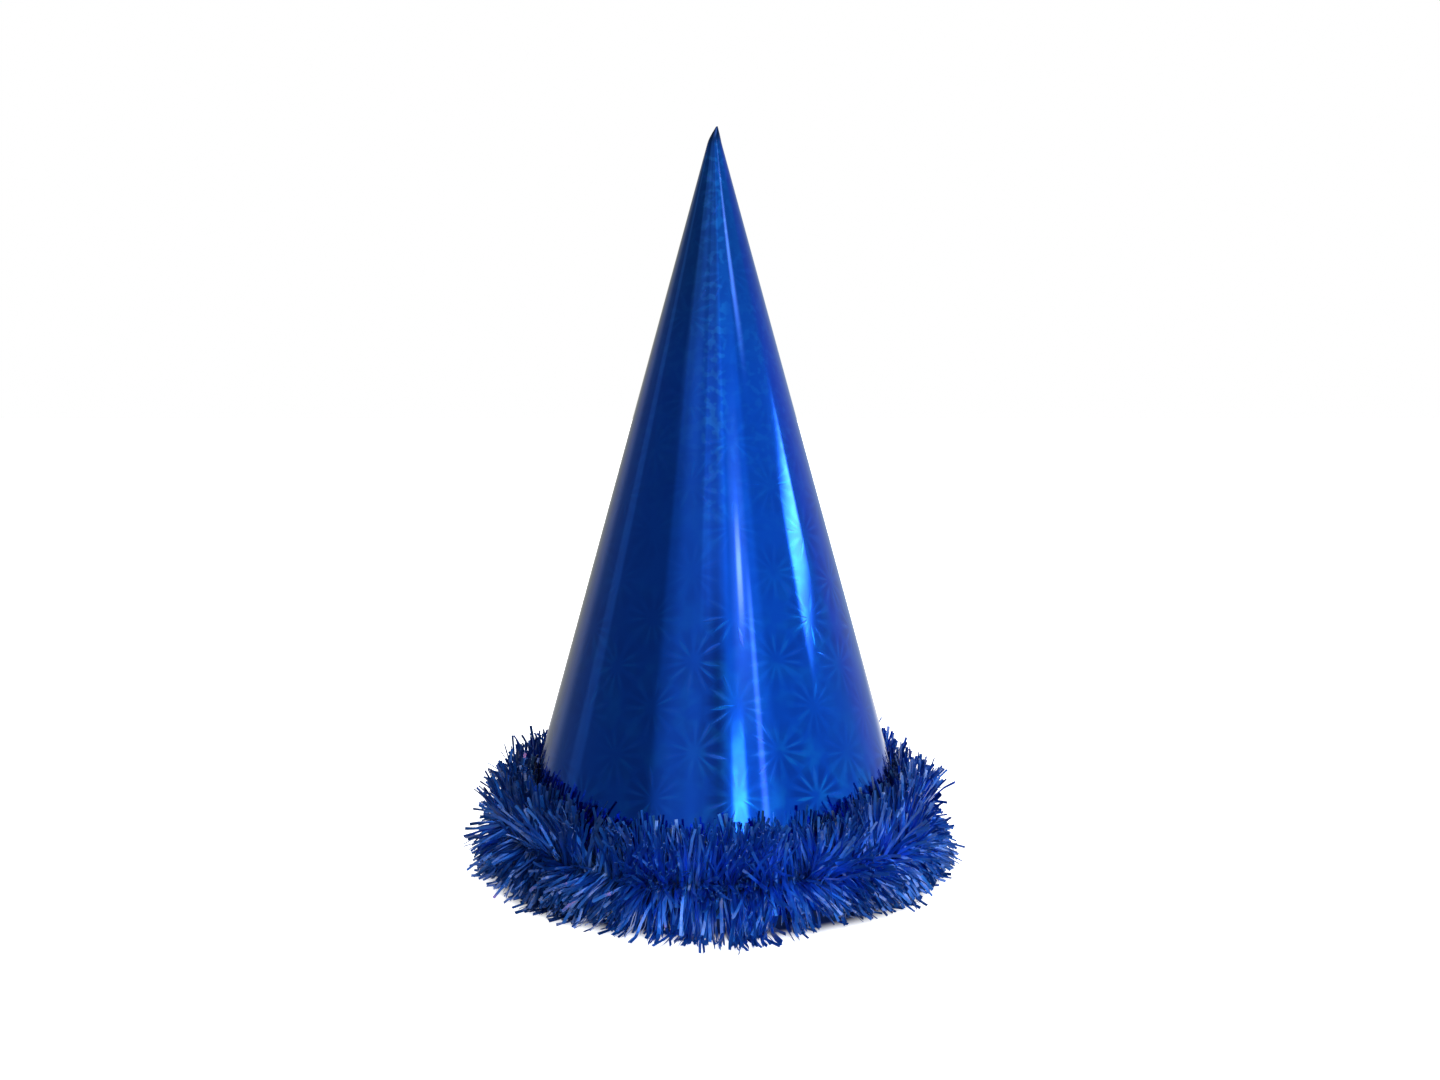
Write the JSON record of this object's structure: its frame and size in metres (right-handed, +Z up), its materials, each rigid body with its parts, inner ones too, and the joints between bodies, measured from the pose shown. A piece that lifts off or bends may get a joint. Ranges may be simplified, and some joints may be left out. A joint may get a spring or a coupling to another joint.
{
  "type": "party hat",
  "caption": "Tall pointed cone party hat of blue holographic foil card, with a blue tinsel garland glued round its rim.",
  "frame": {"origin": "on the ground below the tip, at the middle of the garland ring's flat underside", "axes": "+Z up through the tip, +Y towards the lapped seam at the back, +X towards one of the two elastic holes"},
  "size_m": [0.151, 0.151, 0.2238],
  "materials": {
    "card": "matte",
    "foil": "gloss",
    "seam_glue": "satin",
    "thread": "matte",
    "tinsel": "gloss",
    "hot_glue": "satin"
  },
  "bodies": {
    "root": {"card_cone": "card", "foil_film": "foil", "seam_glue": "seam_glue", "core_thread_a": "thread", "core_thread_b": "thread", "fringe_01": "tinsel", "fringe_02": "tinsel", "fringe_03": "tinsel", "fringe_04": "tinsel", "fringe_05": "tinsel", "fringe_06": "tinsel", "fringe_07": "tinsel", "fringe_08": "tinsel", "fringe_09": "tinsel", "fringe_10": "tinsel", "fringe_11": "tinsel", "fringe_12": "tinsel", "fringe_13": "tinsel", "fringe_14": "tinsel", "fringe_15": "tinsel", "fringe_16": "tinsel", "glue_dot_01": "hot_glue", "glue_dot_02": "hot_glue", "glue_dot_03": "hot_glue", "glue_dot_04": "hot_glue", "glue_dot_05": "hot_glue", "glue_dot_06": "hot_glue", "glue_dot_07": "hot_glue", "glue_dot_08": "hot_glue", "glue_dot_09": "hot_glue", "glue_dot_10": "hot_glue", "glue_dot_11": "hot_glue", "glue_dot_12": "hot_glue"}
  },
  "joints": []
}
